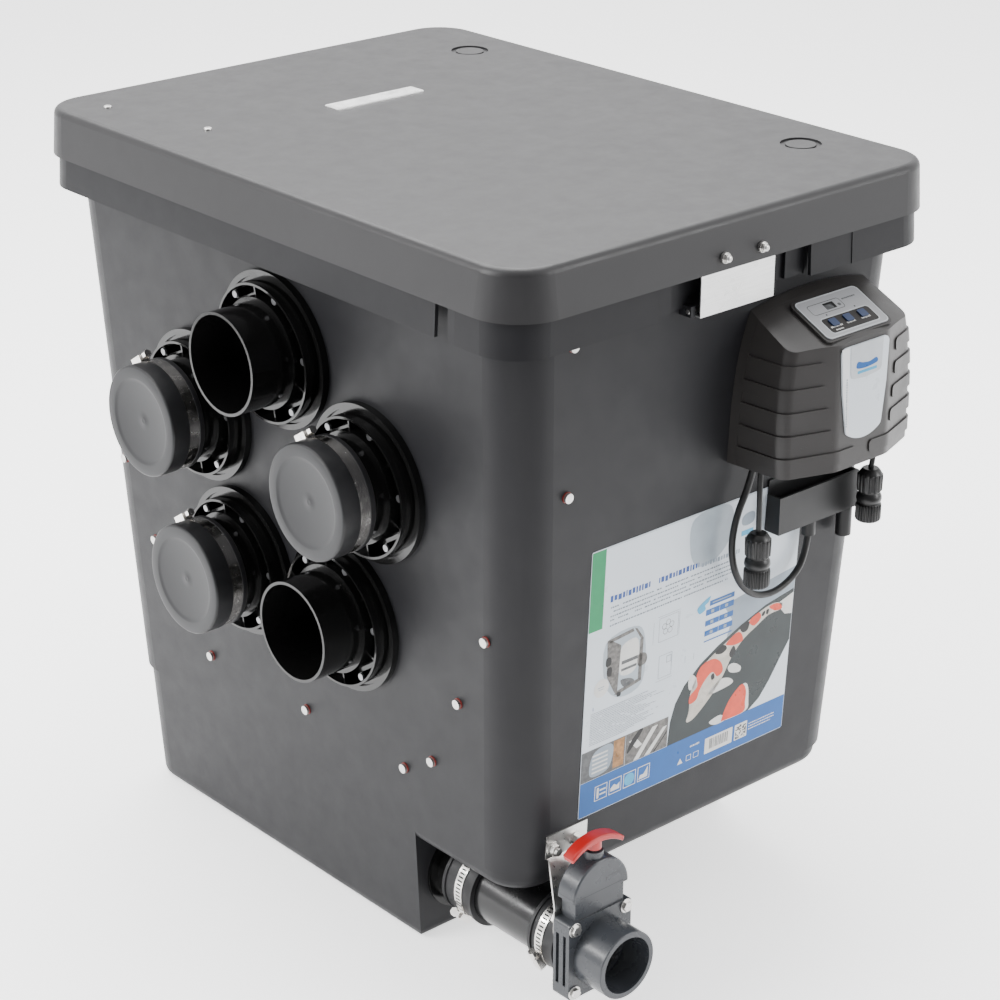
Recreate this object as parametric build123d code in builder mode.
from build123d import *
import os
from math import acos, atan, cos, pi, radians, sin, sqrt, tan

os.makedirs("parts", exist_ok=True)

# ---------------------------------------------------------------------------
# Driving dimensions, mm.  +Z up, floor at Z = 0, origin under the lid centre.
# -X: inlet wall, +X: outlet wall, -Y: front wall with controller and drain.
# ---------------------------------------------------------------------------
TOP_Z = 830.0            # top of the lid
SLOPE = 0.0481           # wall draft, mm per mm of height
TOP_HX, TOP_HY = 276.85, 378.7   # tank half widths at TOP_Z
WALL = 5.0               # tank wall, measured horizontally
CORNER_R = 48.0
SEAM_Z, SEAM_STEP = 149.0, 4.0
UNDER_Z, FOOT_Y = 126.0, -180.0  # underside of the overhang, front of the foot
RIM_Z0, RIM_Z1 = 742.0, 818.0
RIM_LOW, RIM_TOP, RIM_R = (294.0, 393.5), (290.5, 390.5), 46.0   # half sizes, drafted
LID_LOW, LID_TOP = (299.2, 400.2, 56.0), (294.0, 395.8, 48.0)   # half sizes and corner radius
LID_Z0, LID_T, LID_ROOF = 778.8, 3.0, 3.5
HINGE_Y, HINGE_Z = -385.5, 740.0

DRUM_Z = 494.0           # drum axis height, along X through Y = 0
STUB_PCR = 152.0         # pitch radius of the five pipe stubs
PIPE_R, PIPE_BORE = 55.0, 51.8   # 110 mm waste pipe
STUB_LEN = 73.0
STUBS = [(152 * sin(radians(72 * k)), DRUM_Z + 152 * cos(radians(72 * k))) for k in range(5)]
WASTE = STUBS[0]                          # highest stub: dirt outlet, open
CAPPED = [STUBS[1], STUBS[2], STUBS[4]]   # closed with end caps
OPEN_IN = STUBS[3]                        # open inlet
BOSS_R, BOSS_START = 68.5, 8.0

OUTLET_R, OUTLET_BORE, OUTLET_LEN = 80.0, 76.0, 60.0
OUTLETS = [(-130.0, 470.0), (130.0, 470.0)]

GEAR_M, GEAR_N, PINION_N = 5.0, 100, 16
GEAR_DIST = GEAR_M * (GEAR_N + PINION_N) / 2
PINION_A = 45.0
PIN_Y = GEAR_DIST * cos(radians(PINION_A))
PIN_Z = DRUM_Z + GEAR_DIST * sin(radians(PINION_A))
RING_R, ROLLER_R = 250.0, 20.0
ROLL_Y = (RING_R + ROLLER_R + 0.3) * sin(radians(30))
ROLL_Z = DRUM_Z - (RING_R + ROLLER_R + 0.3) * cos(radians(30))

DRAIN_X, DRAIN_Z, DRAIN_R = -176.0, 72.0, 37.5
GATE_Y, GATE_TRAVEL, BLADE_R, GATE_BORE = -390.0, 58.0, 31.0, 27.0

LEFT_SCREWS = [(-315, 422), (315, 422), (-268, 333), (268, 333), (-221, 245),
               (-174, 217), (174, 217), (-5, 219)]
FRONT_SCREWS = [(-199, 578), (-201, 735.5)]

TILT = atan(SLOPE)
IN = WALL * cos(TILT)


def hx(z):
    return TOP_HX - SLOPE * (TOP_Z - z)


def hy(z):
    return TOP_HY - SLOPE * (TOP_Z - z)


def left_wall(y, z, d=0.0):
    n = Vector(-1, 0, -SLOPE).normalized()
    return Plane(origin=Vector(-hx(z), y, z) + n * d, x_dir=(0, -1, 0), z_dir=n)


def right_wall(y, z, d=0.0):
    n = Vector(1, 0, -SLOPE).normalized()
    return Plane(origin=Vector(hx(z), y, z) + n * d, x_dir=(0, 1, 0), z_dir=n)


def front_wall(x, z, d=0.0):
    n = Vector(0, -1, -SLOPE).normalized()
    return Plane(origin=Vector(x, -hy(z), z) + n * d, x_dir=(1, 0, 0), z_dir=n)


def yz_plane(x, z=DRUM_Z, y=0.0):
    return Plane(origin=(x, y, z), x_dir=(0, 1, 0), z_dir=(1, 0, 0))


def drain_plane(y):
    # normal towards -Y, local x along +X, local y along +Z
    return Plane(origin=(DRAIN_X, y, DRAIN_Z), x_dir=(1, 0, 0), z_dir=(0, -1, 0))


def write(builder, name):
    builder.part.label = name
    export_step(builder.part, f"parts/{name}.step")


# --- tank ------------------------------------------------------------------
with BuildPart() as foot_space:
    for z in (5.0, 156.0):
        with BuildSketch(Plane.XY.offset(z)):
            RectangleRounded(2 * (hx(z) - 11), 2 * (hy(z) - 11), 37)
    loft(ruled=True)
    with Locations((0, FOOT_Y + 5 - 200, 64)):
        Box(700, 400, 138, mode=Mode.SUBTRACT)

with BuildPart() as corner_pieces:
    for z, x, y in ((RIM_Z0, 294.8, 394.3), (780.0, 293.1, 392.8)):
        with BuildSketch(Plane.XY.offset(z)):
            RectangleRounded(2 * x, 2 * y, RIM_R + 0.8)
    loft(ruled=True)
    with BuildSketch(Plane.XY.offset(RIM_Z0)):
        RectangleRounded(580, 779, RIM_R - 4)
    extrude(amount=40, mode=Mode.SUBTRACT)
    with Locations((0, 0, 760)):
        Box(336, 900, 60, mode=Mode.SUBTRACT)
    with Locations((0, 138, 760)):
        Box(700, 900, 60, mode=Mode.SUBTRACT)

with BuildPart() as tank:
    # rim band, hollow underneath
    for z, (x, y) in ((RIM_Z0, RIM_LOW), (RIM_Z1, RIM_TOP)):
        with BuildSketch(Plane.XY.offset(z)):
            RectangleRounded(2 * x, 2 * y, RIM_R)
    loft(ruled=True)
    for z, (x, y) in ((RIM_Z0, RIM_LOW), (RIM_Z1 - 5, RIM_TOP)):
        with BuildSketch(Plane.XY.offset(z)):
            RectangleRounded(2 * x - 8, 2 * y - 8, RIM_R - 4)
    loft(ruled=True, mode=Mode.SUBTRACT)
    # slightly proud pieces at the two front corners
    add(corner_pieces.part)
    # solid block behind the hinge, then its two set-backs
    with Locations((0, -378, (RIM_Z0 + RIM_Z1) / 2)):
        Box(222, 12, RIM_Z1 - RIM_Z0)
    with Locations((0, -390.8, 778)):
        Box(214, 16, 90, mode=Mode.SUBTRACT)
    with Locations((0, -388.8, 778)):
        Box(160, 20, 90, mode=Mode.SUBTRACT)
    # notches beside the front corner pieces, each with a recessed strip in front
    with Locations((-286.5, -291.5, 771), (286.5, -291.5, 771)):
        Box(19, 17, 84, mode=Mode.SUBTRACT)
    with Locations((-294, -306, 759), (294, -306, 759)):
        Box(4.4, 12, 42, mode=Mode.SUBTRACT)
    # tapered walls and the narrower foot
    for z in (SEAM_Z, RIM_Z1):
        with BuildSketch(Plane.XY.offset(z)):
            RectangleRounded(2 * hx(z), 2 * hy(z), CORNER_R)
    loft(ruled=True)
    for z in (0.0, SEAM_Z):
        with BuildSketch(Plane.XY.offset(z)):
            RectangleRounded(2 * (hx(z) - SEAM_STEP), 2 * (hy(z) - SEAM_STEP), CORNER_R - SEAM_STEP)
    loft(ruled=True)
    with Locations((0, FOOT_Y - 150, UNDER_Z - 100)):
        Box(700, 300, 200, mode=Mode.SUBTRACT)
    fillet(tank.edges().filter_by(lambda e: abs(e.center().Z - UNDER_Z) < 0.5 and e.center().Y < FOOT_Y - 2), 14)
    fillet(tank.edges().filter_by(lambda e: abs(e.center().Z) < 0.1), 11)
    # inside
    for z in (155.0, RIM_Z1 + 2):
        with BuildSketch(Plane.XY.offset(z)):
            RectangleRounded(2 * (hx(z) - WALL), 2 * (hy(z) - WALL), CORNER_R - WALL)
    loft(ruled=True, mode=Mode.SUBTRACT)
    for z in (UNDER_Z + 7, 156.0):
        with BuildSketch(Plane.XY.offset(z)):
            RectangleRounded(2 * (hx(z) - 11), 2 * (hy(z) - 11), 37)
    loft(ruled=True, mode=Mode.SUBTRACT)
    add(foot_space.part, mode=Mode.SUBTRACT)
    # hinge pocket and the two ears of the hinge rod
    with Locations((0, -377.6, 746)):
        Box(109, 6, 16, mode=Mode.SUBTRACT)
    with Locations((-57, -382, 740.5), (57, -382, 740.5)):
        Box(6, 16, 11)
    with Locations((0, HINGE_Y, HINGE_Z)):
        Cylinder(2.8, 130, rotation=(0, 90, 0), mode=Mode.SUBTRACT)
    # pipe openings
    with Locations(*[(-265, y, z) for y, z in STUBS]):
        Cylinder(PIPE_R + 1, 60, rotation=(0, 90, 0), mode=Mode.SUBTRACT)
    with Locations(*[(260, y, z) for y, z in OUTLETS]):
        Cylinder(OUTLET_R + 1, 60, rotation=(0, 90, 0), mode=Mode.SUBTRACT)
    with Locations((DRAIN_X, FOOT_Y + 2, DRAIN_Z)):
        Cylinder(DRAIN_R + 0.5, 30, rotation=(90, 0, 0), mode=Mode.SUBTRACT)
write(tank, "tank")

# --- hinge rod ---------------------------------------------------------------
with BuildPart() as hinge_rod:
    with Locations((0, HINGE_Y, HINGE_Z)):
        Cylinder(2.75, 120, rotation=(0, 90, 0))
    chamfer(hinge_rod.edges(), 0.5)
write(hinge_rod, "hinge_rod")

# --- lid gasket ----------------------------------------------------------------
with BuildPart() as lid_gasket:
    with BuildSketch(Plane.XY.offset(RIM_Z1)):
        RectangleRounded(2 * 281.0, 2 * 374.0, 36)
        RectangleRounded(2 * 273.0, 2 * 366.0, 28, mode=Mode.SUBTRACT)
    extrude(amount=8)
write(lid_gasket, "lid_gasket")

# --- lid -------------------------------------------------------------------------
PLUGS = [(225, 266), (225, -266)]
LID_SCREWS = [(-245, 330), (-214.5, 185)]
with BuildPart() as lid:
    for z, (x, y, r) in ((LID_Z0, LID_LOW), (TOP_Z, LID_TOP)):
        with BuildSketch(Plane.XY.offset(z)):
            RectangleRounded(2 * x, 2 * y, r)
    loft(ruled=True)
    fillet(lid.faces().sort_by(Axis.Z)[-1].edges(), 8)
    for z, (x, y, r) in ((LID_Z0, LID_LOW), (TOP_Z - LID_ROOF, LID_TOP)):
        with BuildSketch(Plane.XY.offset(z)):
            RectangleRounded(2 * (x - LID_T), 2 * (y - LID_T), r - LID_T)
    loft(ruled=True, mode=Mode.SUBTRACT)
    # stiffening ribs under the roof
    with Locations(*[(x, 10, 822.5) for x in (-170, -60, 60, 170)]):
        Box(4, 680, 9)
    with Locations(*[(0, y, 822.5) for y in (-230, 0, 230)]):
        Box(510, 4, 9)
    # plug seats
    with Locations(*[(x, y, 822.5) for x, y in PLUGS]):
        Cylinder(26, 9)
    with Locations(*[(x, y, 829) for x, y in PLUGS]):
        Cylinder(22, 2.4, mode=Mode.SUBTRACT)
    with Locations(*[(x, y, 822) for x, y in PLUGS]):
        Cylinder(10, 20, mode=Mode.SUBTRACT)
    with Locations(*[(x, y, 826) for x, y in LID_SCREWS]):
        Cylinder(2.3, 24, mode=Mode.SUBTRACT)
    with Locations((-26, -398, 791.7), (26, -398, 791.7)):
        Cylinder(3.1, 14, rotation=(90, 0, 0), mode=Mode.SUBTRACT)
write(lid, "lid")

# --- lid plugs, name plate, screws ---------------------------------------------------
with BuildPart() as lid_plugs:
    with Locations(*[(x, y, 828.6) for x, y in PLUGS]):
        Cylinder(16.5, 1.6)
    fillet(lid_plugs.edges().filter_by(lambda e: e.center().Z > 829.2), 0.6)
    with Locations(*[(x, y, 822.9) for x, y in PLUGS]):
        Cylinder(9.9, 10)
write(lid_plugs, "lid_plugs")

with BuildPart() as lid_nameplate:
    with BuildSketch(Plane.XY.offset(TOP_Z)):
        with Locations((0, 167)):
            RectangleRounded(124, 24, 2)
    extrude(amount=1.4)
    chamfer(lid_nameplate.faces().sort_by(Axis.Z)[-1].edges(), 0.7)
write(lid_nameplate, "lid_nameplate")

with BuildPart() as lid_screws:
    with Locations(*[(x, y, TOP_Z + 1.1) for x, y in LID_SCREWS]):
        Cylinder(4.5, 2.2)
    fillet(lid_screws.edges().filter_by(lambda e: e.center().Z > TOP_Z + 2), 1.4)
    with Locations(*[(x, y, 823) for x, y in LID_SCREWS]):
        Cylinder(2.2, 14)
    with Locations(*[(x, y, 822.5) for x, y in LID_SCREWS]):
        Cylinder(5, 4)
write(lid_screws, "lid_screws")

# --- steel hinge hook and its bolts -----------------------------------------------------
with BuildPart() as lid_hinge_plate:
    with BuildSketch(Plane.YZ.offset(-51.5)):
        with BuildLine():
            Polyline((-394.9, 734), (-377.5, 734), (-377.5, 735.5), (-393.4, 735.5),
                     (-393.4, 800), (-394.9, 800), close=True)
        make_face()
    extrude(amount=103)
    with Locations((-26, -394, 791.7), (26, -394, 791.7)):
        Cylinder(3.1, 10, rotation=(90, 0, 0), mode=Mode.SUBTRACT)
write(lid_hinge_plate, "lid_hinge_plate")

with BuildPart() as hinge_plate_bolts:
    # washer, nut and dome outside the skirt; spacer and head inside
    with Locations((-26, -401.1, 791.7), (26, -401.1, 791.7)):
        Cylinder(5.6, 3.0, rotation=(90, 0, 0))
    with BuildSketch(Plane(origin=(0, -402.6, 791.7), x_dir=(1, 0, 0), z_dir=(0, -1, 0))):
        with Locations((-26, 0), (26, 0)):
            RegularPolygon(5.2, 6)
    extrude(amount=2)
    with Locations((-26, -406.4, 791.7), (26, -406.4, 791.7)):
        Cylinder(4.0, 4, rotation=(90, 0, 0))
    fillet(hinge_plate_bolts.edges().filter_by(lambda e: e.center().Y < -408.2), 3)
    with Locations((-26, -395.5, 791.7), (26, -395.5, 791.7)):
        Cylinder(3.0, 10, rotation=(90, 0, 0))
    with Locations((-26, -395.2, 791.7), (26, -395.2, 791.7)):
        Cylinder(5.0, 0.6, rotation=(90, 0, 0))
    with Locations((-26, -392.0, 791.7), (26, -392.0, 791.7)):
        Cylinder(5.0, 2.8, rotation=(90, 0, 0))
write(hinge_plate_bolts, "hinge_plate_bolts")


# --- pipe stubs on the -X wall ---------------------------------------------------------
def stub_shape(yc, zc, inner_x):
    x0 = -hx(zc)
    with BuildSketch(left_wall(yc, zc)) as sk1:
        Circle(81)
    extrude(sk1.sketch, amount=5)
    with BuildSketch(left_wall(yc, zc)) as sk2:
        Circle(86)
        Circle(80, mode=Mode.SUBTRACT)
    extrude(sk2.sketch, amount=8)
    with BuildSketch(left_wall(yc, zc)) as sk3:
        Circle(76)
        Circle(73.4, mode=Mode.SUBTRACT)
    extrude(sk3.sketch, amount=22)
    with BuildSketch(left_wall(yc, zc)) as sk4:
        with PolarLocations(BOSS_R, 6, start_angle=BOSS_START):
            Circle(4.6)
        with PolarLocations(67.5, 6, start_angle=BOSS_START + 30):
            Rectangle(17, 2)
    extrude(sk4.sketch, amount=17)
    outer = x0 - STUB_LEN
    with Locations(((x0 - 4.5 + x0 - 24) / 2, yc, zc)):
        Cylinder(59.8, 19.5, rotation=(0, 90, 0))
    with Locations(((inner_x + outer) / 2, yc, zc)):
        Cylinder(PIPE_R, inner_x - outer, rotation=(0, 90, 0))
    with Locations((-280, yc, zc)):
        Cylinder(PIPE_BORE, 240, rotation=(0, 90, 0), mode=Mode.SUBTRACT)
    with Locations(left_wall(yc, zc)):
        with PolarLocations(BOSS_R, 6, start_angle=BOSS_START):
            Cylinder(2.3, 60, mode=Mode.SUBTRACT)


with BuildPart() as waste_stub:
    stub_shape(*WASTE, -226)
write(waste_stub, "waste_stub")

with BuildPart() as inlet_stub_open:
    stub_shape(*OPEN_IN, -240)
write(inlet_stub_open, "inlet_stub_open")

with BuildPart() as inlet_stubs_capped:
    for s in CAPPED:
        stub_shape(*s, -240)
write(inlet_stubs_capped, "inlet_stubs_capped")

with BuildPart() as stub_screws:
    with Locations(*[left_wall(y, z, 18.2) for y, z in STUBS]):
        with PolarLocations(BOSS_R, 6, start_angle=BOSS_START):
            Cylinder(3.8, 2.4)
    with Locations(*[left_wall(y, z, 6) for y, z in STUBS]):
        with PolarLocations(BOSS_R, 6, start_angle=BOSS_START):
            Cylinder(2.2, 23)
write(stub_screws, "stub_screws")


def axis_profile(x0, yc, zc, pts):
    # revolves (distance outwards from the wall, radius) points about the stub axis
    pl = Plane(origin=(x0, yc, zc), x_dir=(-1, 0, 0), z_dir=(0, -1, 0))
    with BuildSketch(pl) as sk5:
        with BuildLine():
            Polyline(*pts, close=True)
        make_face()
    revolve(sk5.sketch, axis=Axis((x0, yc, zc), (-1, 0, 0)))


with BuildPart() as end_caps:
    for yc, zc in CAPPED:
        axis_profile(-hx(zc), yc, zc,
                     [(43, 55.25), (43, 60.9), (43.6, 61.5), (49, 61.5), (49, 59.8), (62, 59.8), (62, 61.5),
                      (81.5, 61.5), (83.3, 60.6), (84, 58.8), (84, 48), (82.6, 46), (82.6, 0), (78.5, 0), (78.5, 55.25)])
write(end_caps, "end_caps")


def clamp_shape(centre, along, start, r_in, width, radial):
    c, a, r = Vector(*centre), Vector(*along), Vector(*radial).normalized()
    with BuildSketch(Plane(origin=c + a * start, z_dir=a)) as sk6:
        Circle(r_in + 1)
        Circle(r_in, mode=Mode.SUBTRACT)
    extrude(sk6.sketch, amount=width)
    mid = c + a * (start + width / 2)
    with BuildSketch(Plane(origin=mid + r * (r_in + 0.35), x_dir=a, z_dir=r)) as sk7:
        Rectangle(width - 1, 18)
    extrude(sk7.sketch, amount=8.5)
    t = r.cross(a)
    with BuildSketch(Plane(origin=mid + r * (r_in + 6.2), z_dir=t)) as sk8:
        Circle(3.3)
    extrude(sk8.sketch, amount=17)
    with BuildSketch(Plane(origin=mid + r * (r_in + 6.2) + t * 13, z_dir=t)) as sk9:
        RegularPolygon(4.6, 6)
    extrude(sk9.sketch, amount=6)


with BuildPart() as cap_clamps:
    for yc, zc in CAPPED:
        clamp_shape((-hx(zc), yc, zc), (-1, 0, 0), 49.3, 59.9, 12.4, (0, 0.56, 0.83))
write(cap_clamps, "cap_clamps")

# --- wall screws and red sealing washers ----------------------------------------------
ALL_SCREWS = [left_wall(y, z) for y, z in LEFT_SCREWS] + [front_wall(x, z) for x, z in FRONT_SCREWS]
with BuildPart() as wall_screw_washers:
    for pl in ALL_SCREWS:
        with BuildSketch(pl):
            Circle(5.8)
            Circle(2.7, mode=Mode.SUBTRACT)
        extrude(amount=1.2)
write(wall_screw_washers, "wall_screw_washers")

with BuildPart() as wall_screws:
    for pl in ALL_SCREWS:
        with BuildSketch(pl.offset(1.2)):
            Circle(5.2)
        extrude(amount=3.2)
        with BuildSketch(pl.offset(-11.5)):
            Circle(2.5)
        extrude(amount=13)
write(wall_screws, "wall_screws")

# --- bulkhead with seal flange, roller pins and spray-pipe arm ---------------------------
with BuildPart() as bulkhead:
    with BuildSketch(Plane(origin=(-200, 0, DRUM_Z), x_dir=(0, -1, 0), z_dir=(-1, 0, 0))):
        Circle(236)
        Circle(228, mode=Mode.SUBTRACT)
    extrude(amount=76)
    with BuildSketch(Plane(origin=(-200, 0, DRUM_Z), x_dir=(0, -1, 0), z_dir=(-1, 0, 0))):
        Circle(244)
        Circle(228, mode=Mode.SUBTRACT)
    extrude(amount=6)
    with Locations((-235, -30, 757.7)):
        Box(60, 16, 11.4)
    with Locations((-211, ROLL_Y, ROLL_Z), (-211, -ROLL_Y, ROLL_Z)):
        Cylinder(5, 58, rotation=(0, 90, 0))
    split(bisect_by=left_wall(0, DRUM_Z, -(IN + 1)), keep=Keep.BOTTOM)
    with BuildSketch(left_wall(0, DRUM_Z, -(IN + 1))):
        Circle(342)
        with Locations((0, -9)):
            Rectangle(632, 570, mode=Mode.INTERSECT)
    extrude(amount=-6)
    with Locations(*[(-265, y, z) for y, z in STUBS]):
        Cylinder(57, 60, rotation=(0, 90, 0), mode=Mode.SUBTRACT)
write(bulkhead, "bulkhead")

with BuildPart() as drum_seal:
    with BuildSketch(yz_plane(-200)):
        Circle(243)
        Circle(229, mode=Mode.SUBTRACT)
    extrude(amount=3.7)
write(drum_seal, "drum_seal")

# --- drum ------------------------------------------------------------------------------
with BuildPart() as drum_frame:
    with BuildSketch(yz_plane(-196)):
        Circle(RING_R)
        Circle(228, mode=Mode.SUBTRACT)
    extrude(amount=12)
    with BuildSketch(yz_plane(-186)):
        with PolarLocations(241, 12):
            Rectangle(10, 12)
    extrude(amount=284)
    with BuildSketch(yz_plane(96)):
        Circle(246)
    extrude(amount=8)
    with BuildSketch(yz_plane(90)):
        Circle(34)
    extrude(amount=26)
    with BuildSketch(yz_plane(80)):
        Circle(20.05)
    extrude(amount=50, mode=Mode.SUBTRACT)
write(drum_frame, "drum_frame")

with BuildPart() as screen_panels:
    with BuildSketch(yz_plane(-183.8)):
        Circle(248.4)
        Circle(246.4, mode=Mode.SUBTRACT)
        Rectangle(600, 3, mode=Mode.SUBTRACT)
        Rectangle(3, 600, mode=Mode.SUBTRACT)
    extrude(amount=279.6)
write(screen_panels, "screen_panels")


def gear_points(n, module, addendum, root, backlash, phase):
    r = n * module / 2
    rb = r * cos(radians(20))
    inv = lambda a: tan(a) - a
    half = pi / (2 * n) - backlash / (4 * r)
    steps = [root, max(rb, root + 0.2)] if root < rb else [root]
    top = r + addendum
    steps += [steps[-1] + (top - steps[-1]) * k / 3 for k in (1, 2, 3)]
    flank = []
    for q in steps:
        a = half + inv(radians(20)) - (inv(acos(rb / q)) if q > rb else 0.0)
        flank.append((q, a))
    pts = []
    for k in range(n):
        c = radians(phase) + 2 * pi * k / n
        for q, a in flank:
            pts.append((q * cos(c - a), q * sin(c - a)))
        for q, a in reversed(flank):
            pts.append((q * cos(c + a), q * sin(c + a)))
    return pts


with BuildPart() as gear_ring:
    with BuildSketch(yz_plane(104)):
        with BuildLine():
            Polyline(*gear_points(GEAR_N, GEAR_M, 4.0, 243.8, 0.9, PINION_A + 180.0 / GEAR_N), close=True)
        make_face()
        Circle(230, mode=Mode.SUBTRACT)
    extrude(amount=10)
write(gear_ring, "gear_ring")

with BuildPart() as hub_bush:
    with BuildSketch(yz_plane(91)):
        Circle(20)
        Circle(15.06, mode=Mode.SUBTRACT)
    extrude(amount=24)
write(hub_bush, "hub_bush")

with BuildPart() as pinion:
    with BuildSketch(yz_plane(105, PIN_Z, PIN_Y)):
        with BuildLine():
            Polyline(*gear_points(PINION_N, GEAR_M, 4.4, 34.4, 0.9, PINION_A + 180), close=True)
        make_face()
    extrude(amount=8)
    with BuildSketch(yz_plane(113, PIN_Z, PIN_Y)):
        Circle(8)
    extrude(amount=35)
write(pinion, "pinion")


def roller_shape(y):
    with BuildSketch(yz_plane(-196, ROLL_Z, y)) as sk10:
        Circle(ROLLER_R)
        Circle(5.06, mode=Mode.SUBTRACT)
    extrude(sk10.sketch, amount=12)


with BuildPart() as roller_left:
    roller_shape(-ROLL_Y)
write(roller_left, "roller_left")

with BuildPart() as roller_right:
    roller_shape(ROLL_Y)
write(roller_right, "roller_right")

# --- cradle, axle, gearmotor --------------------------------------------------------------
with BuildPart() as drum_cradle:
    with BuildSketch(yz_plane(121)):
        with Locations((-296, -64), (-296, 66), (296, -64), (296, 66)):
            Circle(8)
    extrude(amount=-400)
    split(bisect_by=left_wall(0, DRUM_Z, -(IN + 7)), keep=Keep.BOTTOM)
    with BuildSketch(yz_plane(120)):
        with Locations((0, -4)):
            RectangleRounded(620, 620, 30)
        with Locations((-235, -179)):
            RectangleRounded(90, 210, 12, mode=Mode.SUBTRACT)
        with Locations((165, -179)):
            RectangleRounded(230, 210, 12, mode=Mode.SUBTRACT)
        with Locations((-170, 161)):
            RectangleRounded(220, 190, 12, mode=Mode.SUBTRACT)
        with Locations((90, 161)):
            RectangleRounded(80, 190, 12, mode=Mode.SUBTRACT)
        Circle(15.1, mode=Mode.SUBTRACT)
        with Locations((PIN_Y, PIN_Z - DRUM_Z)):
            Circle(9, mode=Mode.SUBTRACT)
        with Locations((-30, 776 - DRUM_Z)):
            Circle(12.7, mode=Mode.SUBTRACT)
    extrude(amount=6)
write(drum_cradle, "drum_cradle")

with BuildPart() as axle:
    with BuildSketch(yz_plane(40)):
        Circle(15)
    extrude(amount=94)
    with BuildSketch(yz_plane(126)):
        Circle(36)
    extrude(amount=8)
    chamfer(axle.edges().filter_by(lambda e: e.center().X < 41), 1.5)
write(axle, "axle")

with BuildPart() as gearmotor:
    with BuildSketch(yz_plane(126, PIN_Z, PIN_Y)):
        RectangleRounded(90, 90, 8)
    extrude(amount=44)
    with BuildSketch(yz_plane(170, PIN_Z, PIN_Y)):
        Circle(31)
    extrude(amount=64)
    fillet(gearmotor.edges().filter_by(lambda e: e.center().X > 233), 3)
    with BuildSketch(yz_plane(120, PIN_Z, PIN_Y)):
        Circle(8.06)
    extrude(amount=30, mode=Mode.SUBTRACT)
write(gearmotor, "gearmotor")

# --- dirt gutter ------------------------------------------------------------------------------
WZ = WASTE[1]
with BuildPart() as gutter:
    with BuildSketch(yz_plane(-222, WZ)):
        with BuildLine():
            Line((-84, 50), (-58, 0))
            ThreePointArc((-58, 0), (0, -58), (58, 0))
            Polyline((58, 0), (84, 50), (81, 50), (55, 0))
            ThreePointArc((55, 0), (0, -55), (-55, 0))
            Polyline((-55, 0), (-81, 50), (-84, 50))
        make_face()
    extrude(amount=300)
    with BuildSketch(yz_plane(-225, WZ)):
        with BuildLine():
            Line((-84, 50), (-58, 0))
            ThreePointArc((-58, 0), (0, -58), (58, 0))
            Polyline((58, 0), (84, 50), (0, 62), (-84, 50))
        make_face()
        Circle(59)
    extrude(amount=3.5)
    with BuildSketch(yz_plane(75, WZ)):
        with BuildLine():
            Line((-84, 50), (-58, 0))
            ThreePointArc((-58, 0), (0, -58), (58, 0))
            Polyline((58, 0), (84, 50), (-84, 50))
        make_face()
    extrude(amount=3)
    with BuildSketch(yz_plane(-250, WZ)):
        Circle(59)
    extrude(amount=26)
    with BuildSketch(yz_plane(-260, WZ)):
        Circle(PIPE_R + 0.3)
    extrude(amount=40, mode=Mode.SUBTRACT)
    with BuildSketch(yz_plane(56, DRUM_Z)):
        Circle(24)
        with Locations((0, 57)):
            Rectangle(22, 80)
    extrude(amount=10)
    with BuildSketch(yz_plane(50, DRUM_Z)):
        Circle(15.1)
    extrude(amount=20, mode=Mode.SUBTRACT)
write(gutter, "gutter")

# --- spray pipe, nozzles ------------------------------------------------------------------------
with BuildPart() as spray_pipe:
    with BuildLine() as spray_path:
        FilletPolyline((-240, -30, 776), (207, -30, 776), (207, -120, 776), (207, -120, 345), radius=25)
    with BuildSketch(Plane(origin=(-240, -30, 776), z_dir=(1, 0, 0))):
        Circle(12.5)
        Circle(10, mode=Mode.SUBTRACT)
    sweep(path=spray_path.line)
    with Locations((-239, -30, 776)):
        Cylinder(11, 2, rotation=(0, 90, 0))
write(spray_pipe, "spray_pipe")

NOZZLE_X = [-165 + 34 * k for k in range(8)]
with BuildPart() as spray_nozzles:
    for x in NOZZLE_X:
        with BuildSketch(Plane(origin=(x - 6, -30, 776), z_dir=(1, 0, 0))):
            Circle(15.5)
        extrude(amount=12)
        with BuildSketch(Plane(origin=(x, -30, 764), z_dir=(0, 0, -1))):
            Circle(6)
        extrude(amount=16, taper=12)
        with BuildSketch(Plane(origin=(x - 20, -30, 776), z_dir=(1, 0, 0))):
            Circle(12.55)
        extrude(amount=40, mode=Mode.SUBTRACT)
write(spray_nozzles, "spray_nozzles")

# --- rinse pump and impeller ----------------------------------------------------------------------
PY, PZ = -120.0, 270.0
with BuildPart() as rinse_pump:
    with BuildSketch(yz_plane(126, PZ, PY)):
        Circle(46)
    extrude(amount=62)
    with BuildSketch(yz_plane(188, PZ, PY)):
        Circle(50)
    extrude(amount=40)
    with Locations((207, PY, 327.5)):
        Cylinder(15, 35)
    with BuildSketch(yz_plane(194, PZ, PY)):
        Circle(44)
    extrude(amount=28, mode=Mode.SUBTRACT)
    with BuildSketch(yz_plane(215, PZ, PY)):
        Circle(18)
    extrude(amount=20, mode=Mode.SUBTRACT)
    with Locations((207, PY, 325)):
        Cylinder(10, 42, mode=Mode.SUBTRACT)
    with BuildSketch(yz_plane(168, PZ, PY)):
        Circle(4.06)
    extrude(amount=30, mode=Mode.SUBTRACT)
write(rinse_pump, "rinse_pump")

with BuildPart() as pump_impeller:
    with BuildSketch(yz_plane(197, PZ, PY)):
        Circle(40)
    extrude(amount=3)
    with BuildSketch(yz_plane(199, PZ, PY)):
        Circle(9)
        with PolarLocations(23, 6):
            Rectangle(30, 2.5)
    extrude(amount=15)
    with BuildSketch(yz_plane(170, PZ, PY)):
        Circle(4)
    extrude(amount=40)
write(pump_impeller, "pump_impeller")

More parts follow.
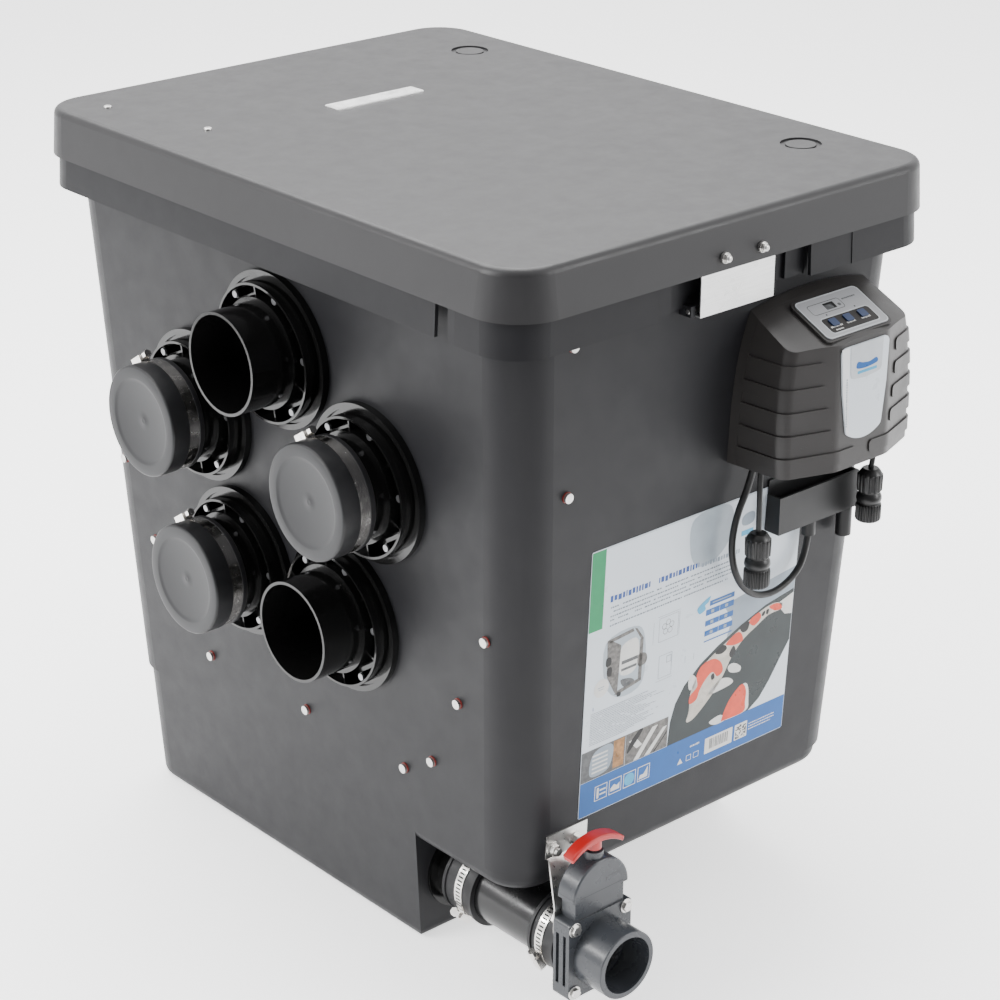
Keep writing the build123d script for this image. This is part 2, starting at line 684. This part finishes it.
# --- outlet stubs on the +X wall -----------------------------------------------------------------
with BuildPart() as outlet_stubs:
    for yc, zc in OUTLETS:
        x0 = hx(zc)
        with BuildSketch(right_wall(yc, zc)):
            Circle(104)
        extrude(amount=8)
        with BuildSketch(right_wall(yc, zc)):
            Circle(88)
        extrude(amount=22)
        with Locations((x0 + 16, yc, zc)):
            Cylinder(84, 24, rotation=(0, 90, 0))
        with Locations(((238 + x0 + 20) / 2, yc, zc)):
            Cylinder(OUTLET_R - 0.5, x0 + 20 - 238, rotation=(0, 90, 0))
        with Locations((x0 + (20 + OUTLET_LEN) / 2, yc, zc)):
            Cylinder(OUTLET_R, OUTLET_LEN - 20, rotation=(0, 90, 0))
        with Locations((270, yc, zc)):
            Cylinder(OUTLET_BORE, 200, rotation=(0, 90, 0), mode=Mode.SUBTRACT)
write(outlet_stubs, "outlet_stubs")

# --- drain line -------------------------------------------------------------------------------------
with BuildPart() as drain_spigot:
    with BuildSketch(drain_plane(-135)):
        Circle(DRAIN_R)
    extrude(amount=100)
    with BuildSketch(drain_plane(FOOT_Y + 11)):
        Circle(50)
    extrude(amount=6)
    with BuildSketch(drain_plane(FOOT_Y)):
        Circle(47)
    extrude(amount=4)
    with BuildSketch(drain_plane(-125)):
        Circle(34)
    extrude(amount=125, mode=Mode.SUBTRACT)
write(drain_spigot, "drain_spigot")


def sleeve_shape(y0, y1):
    with BuildSketch(drain_plane(y0)) as sk11:
        Circle(42)
    extrude(sk11.sketch, amount=y0 - y1)
    for y in (y0, y1 + 4):
        with BuildSketch(drain_plane(y)) as sk12:
            Circle(43.6)
        extrude(sk12.sketch, amount=4)
    with BuildSketch(drain_plane(y0 + 1)) as sk13:
        Circle(DRAIN_R + 0.25)
    extrude(sk13.sketch, amount=y0 - y1 + 2, mode=Mode.SUBTRACT)


with BuildPart() as drain_couplers:
    sleeve_shape(-200, -246)
    sleeve_shape(-337, -375)
write(drain_couplers, "drain_couplers")

with BuildPart() as drain_clamps:
    clamp_shape((DRAIN_X, 0, DRAIN_Z), (0, -1, 0), 219.5, 42.1, 11.5, (-0.75, 0, -0.66))
    clamp_shape((DRAIN_X, 0, DRAIN_Z), (0, -1, 0), 348, 42.1, 11, (-0.9, 0, -0.44))
write(drain_clamps, "drain_clamps")

with BuildPart() as drain_pipe:
    with BuildSketch(drain_plane(-238)):
        Circle(DRAIN_R)
        Circle(34, mode=Mode.SUBTRACT)
    extrude(amount=115)
write(drain_pipe, "drain_pipe")

# --- gate valve -------------------------------------------------------------------------------------
BOLTS = [(-36, -38), (36, -38), (-36, 38), (36, 38)]
with BuildPart() as valve_body_rear:
    with BuildSketch(drain_plane(-378)):
        RectangleRounded(88, 92, 5)
    extrude(amount=13.5)
    with Locations((DRAIN_X - 44, -384.5, DRAIN_Z), (DRAIN_X + 44, -384.5, DRAIN_Z)):
        Box(8, 4.5, 60, mode=Mode.SUBTRACT)
    with BuildSketch(drain_plane(-356)):
        Circle(DRAIN_R)
    extrude(amount=23)
    with BuildSketch(drain_plane(-388.5)):
        Circle(31.5)
        with Locations((0, 24)):
            Rectangle(63, 48)
    extrude(amount=10, mode=Mode.SUBTRACT)
    with BuildSketch(drain_plane(-340)):
        Circle(GATE_BORE)
    extrude(amount=60, mode=Mode.SUBTRACT)
    with Locations((DRAIN_X, GATE_Y, 112)):
        Cylinder(4.6, 24, mode=Mode.SUBTRACT)
    with Locations(*[(DRAIN_X + a, -385, DRAIN_Z + b) for a, b in BOLTS]):
        Cylinder(3.2, 40, rotation=(90, 0, 0), mode=Mode.SUBTRACT)
write(valve_body_rear, "valve_body_rear")

with BuildPart() as valve_body_front:
    with BuildSketch(drain_plane(-391.5)):
        RectangleRounded(88, 92, 5)
    extrude(amount=10.5)
    with Locations((DRAIN_X - 44, -395, DRAIN_Z), (DRAIN_X + 44, -395, DRAIN_Z)):
        Box(8, 4, 60, mode=Mode.SUBTRACT)
    with BuildSketch(drain_plane(-401)):
        Circle(38)
    extrude(amount=42)
    fillet(valve_body_front.edges().filter_by(lambda e: e.center().Y < -442), 1.5)
    with BuildSketch(drain_plane(-380)):
        Circle(GATE_BORE)
    extrude(amount=60, mode=Mode.SUBTRACT)
    with BuildSketch(drain_plane(-405)):
        Circle(31.5)
    extrude(amount=60, mode=Mode.SUBTRACT)
    with Locations((DRAIN_X, GATE_Y, 112)):
        Cylinder(4.6, 24, mode=Mode.SUBTRACT)
    with Locations(*[(DRAIN_X + a, -397, DRAIN_Z + b) for a, b in BOLTS]):
        Cylinder(3.2, 30, rotation=(90, 0, 0), mode=Mode.SUBTRACT)
write(valve_body_front, "valve_body_front")

with BuildPart() as valve_bonnet:
    with Locations((DRAIN_X, GATE_Y, 130)):
        Box(68, 20, 24)
    with BuildSketch(Plane(origin=(DRAIN_X, -377, 141), x_dir=(1, 0, 0), z_dir=(0, -1, 0))):
        Circle(38.5)
        with Locations((0, -40)):
            Rectangle(90, 80, mode=Mode.SUBTRACT)
        with Locations((0, 2)):
            Rectangle(77, 4)
    extrude(amount=26)
    fillet(valve_bonnet.edges().filter_by(lambda e: e.center().Z > 142 and (abs(e.center().Y + 377) < 0.1 or abs(e.center().Y + 403) < 0.1)), 2.5)
    with Locations((DRAIN_X, GATE_Y, 180)):
        Cylinder(10, 14)
    with BuildSketch(Plane(origin=(DRAIN_X, GATE_Y + 1.5, 100), x_dir=(1, 0, 0), z_dir=(0, -1, 0))):
        with Locations((0, 30)):
            Circle(31.6)
        with Locations((0, 14)):
            Rectangle(63.2, 32)
    extrude(amount=3, mode=Mode.SUBTRACT)
    with Locations((DRAIN_X, GATE_Y, 139)):
        Cylinder(4.6, 60, mode=Mode.SUBTRACT)
    with Locations((DRAIN_X, GATE_Y, 178)):
        Cylinder(4.06, 30, mode=Mode.SUBTRACT)
write(valve_bonnet, "valve_bonnet")

with BuildPart() as gate_blade:
    with BuildSketch(Plane(origin=(DRAIN_X, GATE_Y + 1.2, DRAIN_Z), x_dir=(1, 0, 0), z_dir=(0, -1, 0))):
        Circle(BLADE_R)
    extrude(amount=2.4)
    with Locations((DRAIN_X, GATE_Y, (101 + 189) / 2)):
        Cylinder(4, 88)
write(gate_blade, "gate_blade")

with BuildPart() as valve_handle:
    with BuildSketch(Plane(origin=(DRAIN_X, GATE_Y + 8, 0), x_dir=(1, 0, 0), z_dir=(0, -1, 0))):
        with BuildLine():
            ThreePointArc((-37, 190.5), (0, 204.5), (37, 190.5))
            Line((37, 190.5), (35, 185.6))
            ThreePointArc((35, 185.6), (0, 197), (-35, 185.6))
            Line((-35, 185.6), (-37, 190.5))
        make_face()
    extrude(amount=16)
    fillet(valve_handle.edges().filter_by(lambda e: abs(e.center().Y - GATE_Y) > 7.9), 2.5)
    with Locations((DRAIN_X, GATE_Y, 194)):
        Cylinder(8, 10)
write(valve_handle, "valve_handle")

# wall bracket: plate on the wall, sloping strip, foot behind the valve
BR_Z1, BR_Z0 = 193.0, 165.0
with BuildPart() as valve_bracket:
    with BuildSketch(Plane.YZ.offset(-219)):
        with BuildLine():
            Polyline((-hy(BR_Z1), BR_Z1), (-hy(BR_Z0), BR_Z0), (-376.5, 124), (-376.5, 97),
                     (-378, 97), (-378, 124.6), (-hy(BR_Z0) - 1.5, 166), (-hy(BR_Z1) - 1.5, BR_Z1), close=True)
        make_face()
    extrude(amount=86)
    # seen from the front: plate, waist at the bend, then widening to the valve
    with BuildSketch(Plane(origin=(0, -320, 0), x_dir=(1, 0, 0), z_dir=(0, -1, 0))):
        with BuildLine():
            Polyline((-204, 194), (-204, 166), (-200.5, 164), (-219, 122), (-219, 96),
                     (-133, 96), (-133, 122), (-150.5, 164), (-147, 166), (-147, 194), close=True)
        make_face()
    extrude(amount=100, mode=Mode.INTERSECT)
    with BuildSketch(drain_plane(-370)):
        Circle(39)
    extrude(amount=20, mode=Mode.SUBTRACT)
    with Locations(*[(DRAIN_X + a, -377, DRAIN_Z + 38) for a in (-36, 36)]):
        Cylinder(3.2, 20, rotation=(90, 0, 0), mode=Mode.SUBTRACT)
    with Locations(front_wall(-195, 176), front_wall(-163, 176)):
        Cylinder(4.1, 24, mode=Mode.SUBTRACT)
write(valve_bracket, "valve_bracket")

with BuildPart() as valve_bolts:
    for a, b in BOLTS:
        with BuildSketch(drain_plane(-402)):
            with Locations((a, b)):
                RegularPolygon(5.8, 6)
        extrude(amount=4.5)
        with BuildSketch(drain_plane(-371)):
            with Locations((a, b)):
                Circle(3)
        extrude(amount=32)
        with BuildSketch(drain_plane(-371 if b > 0 else -373)):
            with Locations((a, b)):
                RegularPolygon(5.8, 6)
        extrude(amount=5.5 if b > 0 else 5)
    for x in (-195, -163):
        pl = front_wall(x, 176, 1.5)
        with BuildSketch(pl):
            Circle(8)
        extrude(amount=1.4)
        with BuildSketch(pl.offset(1.4)):
            RegularPolygon(6.6, 6)
        extrude(amount=5)
        with BuildSketch(pl.offset(-14)):
            Circle(4)
        extrude(amount=24)
write(valve_bolts, "valve_bolts")

# --- label -------------------------------------------------------------------------------------------
with BuildPart() as label:
    with BuildSketch(front_wall(-6, 351)):
        RectangleRounded(308, 310, 2)
    extrude(amount=0.5)
write(label, "label")


# --- controller ----------------------------------------------------------------------------------------
CX = 127.0


SLOPE_N = (0, -sin(radians(25)), cos(radians(25)))
SLOPE_PL = Plane(origin=(CX, -419.5, 716.8 - 25.5 * tan(radians(25))), x_dir=(1, 0, 0), z_dir=SLOPE_N)


def controller_body(g):
    # rounded tapered housing, g grown outwards
    sections = []
    for z, wb, wc, yc, wn in ((553.0, 102.0, 96.0, -437.0, 38.0), (610.0, 102.3, 97.0, -435.5, 38.0),
                              (665.0, 98.0, 92.5, -434.0, 37.0), (728.0, 79.0, 74.0, -430.0, 34.0)):
        yn = -457 + 6 * (z - 553) / 175
        pts = [(wb + g, -345), (wb + g, -366), (wc + g, yc - g), (wn, yn - g)]
        right = [(CX + x, y) for x, y in pts]
        left = [(CX - x, y) for x, y in reversed(pts)]
        with BuildSketch(Plane.XY.offset(z)) as sk14:
            with BuildLine():
                Polyline(*(right + left), close=True)
            make_face()
            fillet([v for v in vertices() if -445 < v.Y < -420], 16)
            fillet([v for v in vertices() if v.Y < -445], 28)
        sections.append(sk14.sketch)
    loft(sections, ruled=False)
    # arched outline seen from the front
    with BuildSketch(Plane(origin=(CX, -330, 0), x_dir=(1, 0, 0), z_dir=(0, -1, 0))) as sk15:
        with BuildLine():
            Polyline((-91 - g, 713), (-112, 600), (-112, 540), (112, 540), (112, 600), (91 + g, 713))
            ThreePointArc((91 + g, 713), (0, 725 + g), (-91 - g, 713))
        make_face()
    extrude(sk15.sketch, amount=150, mode=Mode.INTERSECT)
    # sloping top, arched across
    with BuildSketch(Plane(origin=(CX, -394, 716.8), x_dir=(1, 0, 0), z_dir=(0, -cos(radians(25)), -sin(radians(25))))) as sk19:
        with BuildLine():
            Polyline((-112, -18.9 + g), (-112, -260), (112, -260), (112, -18.9 + g))
            ThreePointArc((112, -18.9 + g), (0, g), (-112, -18.9 + g))
        make_face()
    extrude(sk19.sketch, amount=150, both=True, mode=Mode.INTERSECT)


with BuildPart() as ribs:
    controller_body(1.5)
    with BuildSketch(Plane(origin=(CX, -330, 0), x_dir=(1, 0, 0), z_dir=(0, -1, 0))):
        for k, e in enumerate((53, 51, 47, 43, 10)):
            with Locations((-(e + 120) / 2, 666 - 24.4 * k), ((e + 120) / 2, 666 - 24.4 * k)):
                RectangleRounded(120 - e, 13.5, 4.5)
    extrude(amount=150, mode=Mode.INTERSECT)
    split(bisect_by=front_wall(0, 640, 13), keep=Keep.TOP)

with BuildPart() as controller_space:
    controller_body(-3.5)
    split(bisect_by=Plane.XY.offset(557), keep=Keep.TOP)

with BuildPart() as controller_cover:
    controller_body(0)
    add(ribs.part)
    with BuildSketch(SLOPE_PL):
        RectangleRounded(99, 62, 8)
    extrude(amount=-12)
    split(bisect_by=front_wall(0, 640, 12), keep=Keep.TOP)
    add(controller_space.part, mode=Mode.SUBTRACT)
    with BuildSketch(Plane(origin=(CX, -419.5, 716.8 - 25.5 * tan(radians(25))), x_dir=(1, 0, 0), z_dir=(0, -sin(radians(25)), cos(radians(25))))):
        with Locations((-21.5, -9.4), (0, -9.4), (21.5, -9.4)):
            Rectangle(10.7, 10.7)
    extrude(amount=12, both=True, mode=Mode.SUBTRACT)
write(controller_cover, "controller_cover")

with BuildPart() as controller_back:
    controller_body(0)
    split(bisect_by=front_wall(0, 640, 11.9), keep=Keep.BOTTOM)
    split(bisect_by=front_wall(0, 640, 0.2), keep=Keep.TOP)
write(controller_back, "controller_back")

KEYS = [(-21.5, -9.4), (0, -9.4), (21.5, -9.4)]
with BuildPart() as control_panel:
    with BuildSketch(SLOPE_PL):
        RectangleRounded(92, 56, 6)
        with Locations(*KEYS):
            Rectangle(10.7, 10.7, mode=Mode.SUBTRACT)
    extrude(amount=1.2)
write(control_panel, "control_panel")


def key_shape(k):
    with BuildSketch(SLOPE_PL.offset(-8)) as sk16:
        with Locations(KEYS[k]):
            RectangleRounded(10, 10, 1.2)
    extrude(sk16.sketch, amount=10.8)


with BuildPart() as key_left:
    key_shape(0)
write(key_left, "key_left")
with BuildPart() as key_middle:
    key_shape(1)
write(key_middle, "key_middle")
with BuildPart() as key_right:
    key_shape(2)
write(key_right, "key_right")

# light shield plate on the front face
FRONT_N = Vector(0, -(728.0 - 553.0), 6.0).normalized()
with BuildPart() as shield_plate:
    with BuildSketch(Plane(origin=(CX, -457 + 6.0 * (635 - 553) / 175, 635), x_dir=(1, 0, 0), z_dir=FRONT_N)):
        with BuildLine():
            Polyline((-26.5, -44), (-33, 0), (-36, 48.5), (36, 48.5), (33, 0), (26.5, -44))
            ThreePointArc((26.5, -44), (0, -53), (-26.5, -44))
        make_face()
        fillet([v for v in vertices() if v.Z < 600], 7)
    extrude(amount=1.6)
write(shield_plate, "shield_plate")

# --- holder tray with two cable glands ------------------------------------------------------------------
with BuildPart() as holder_tray:
    with Locations((152.5, -366, 477)):
        Box(123, 32, 42)
    with Locations((152.5, -368, 480)):
        Box(117, 22, 42, mode=Mode.SUBTRACT)
    with Locations((150, -371, 447)):
        Cylinder(7.5, 18)
    with Locations((204, -373, 440)):
        Cylinder(8.5, 34)
    split(bisect_by=front_wall(0, 477, 0.8), keep=Keep.TOP)
write(holder_tray, "holder_tray")


# --- cables and connectors ----------------------------------------------------------------------------------
def cord_radii(pts):
    out = []
    for a, b, c in zip(pts, pts[1:], pts[2:]):
        u, v = Vector(*b) - Vector(*a), Vector(*c) - Vector(*b)
        out.append(0.45 * min(u.length, v.length) / tan(radians(u.get_angle(v)) / 2))
    return out


LOOP = [(47, -384, 553), (44, -381, 528), (31, -376.5, 495), (26, -375, 458), (37, -374.5, 420), (63, -373.5, 393),
        (97, -372.5, 384), (129, -371.5, 393), (146, -371, 412), (150, -371, 438)]
LEFT_LEAD = [(39, -400, 553), (36, -403, 518), (38, -402, 483)]
RIGHT_LEAD = [(211, -398, 553), (213, -404, 530), (209, -402, 508)]


def cord_shape(pts, d):
    radii = cord_radii(pts)
    with BuildLine() as path:
        FilletPolyline(*pts, radius=radii)
    with BuildSketch(Plane(origin=pts[0], z_dir=path.line % 0)) as sk17:
        Circle(d / 2)
    sweep(sk17.sketch, path=path.line)
    return radii, sum(e.length for e in path.line.edges())


with BuildPart() as loop_cable:
    info = cord_shape(LOOP, 7.5)
print("loop_cable radii", [round(r, 1) for r in info[0]], "length", round(info[1], 1), "volume ratio", loop_cable.part.volume / (info[1] * pi * 3.75**2))
write(loop_cable, "loop_cable")

with BuildPart() as left_lead:
    info = cord_shape(LEFT_LEAD, 6.0)
print("left_lead radii", [round(r, 1) for r in info[0]], "length", round(info[1], 1), "volume ratio", left_lead.part.volume / (info[1] * pi * 9))
write(left_lead, "left_lead")

with BuildPart() as right_lead:
    info = cord_shape(RIGHT_LEAD, 6.0)
print("right_lead radii", [round(r, 1) for r in info[0]], "length", round(info[1], 1), "volume ratio", right_lead.part.volume / (info[1] * pi * 9))
write(right_lead, "right_lead")


def connector_shape(x, y, z1):
    # round in-line plug connector hanging from its cable end at z1
    pl = Plane(origin=(x, y, z1), x_dir=(1, 0, 0), z_dir=(0, -1, 0))
    with BuildSketch(pl) as sk18:
        with BuildLine():
            Polyline((0, 0), (7, 0), (9, -2), (9, -9), (11, -11), (11, -17), (14, -18), (14, -33), (12.5, -35),
                     (14, -37), (14, -56), (12, -60), (0, -60), close=True)
        make_face()
    revolve(sk18.sketch, axis=Axis((x, y, z1), (0, 0, 1)))


with BuildPart() as left_connector:
    connector_shape(38, -402, 483)
write(left_connector, "left_connector")
with BuildPart() as right_connector:
    connector_shape(209, -402, 508)
write(right_connector, "right_connector")

print("roller", ROLL_Y, ROLL_Z, "pinion", PIN_Y, PIN_Z, "stubs", STUBS)
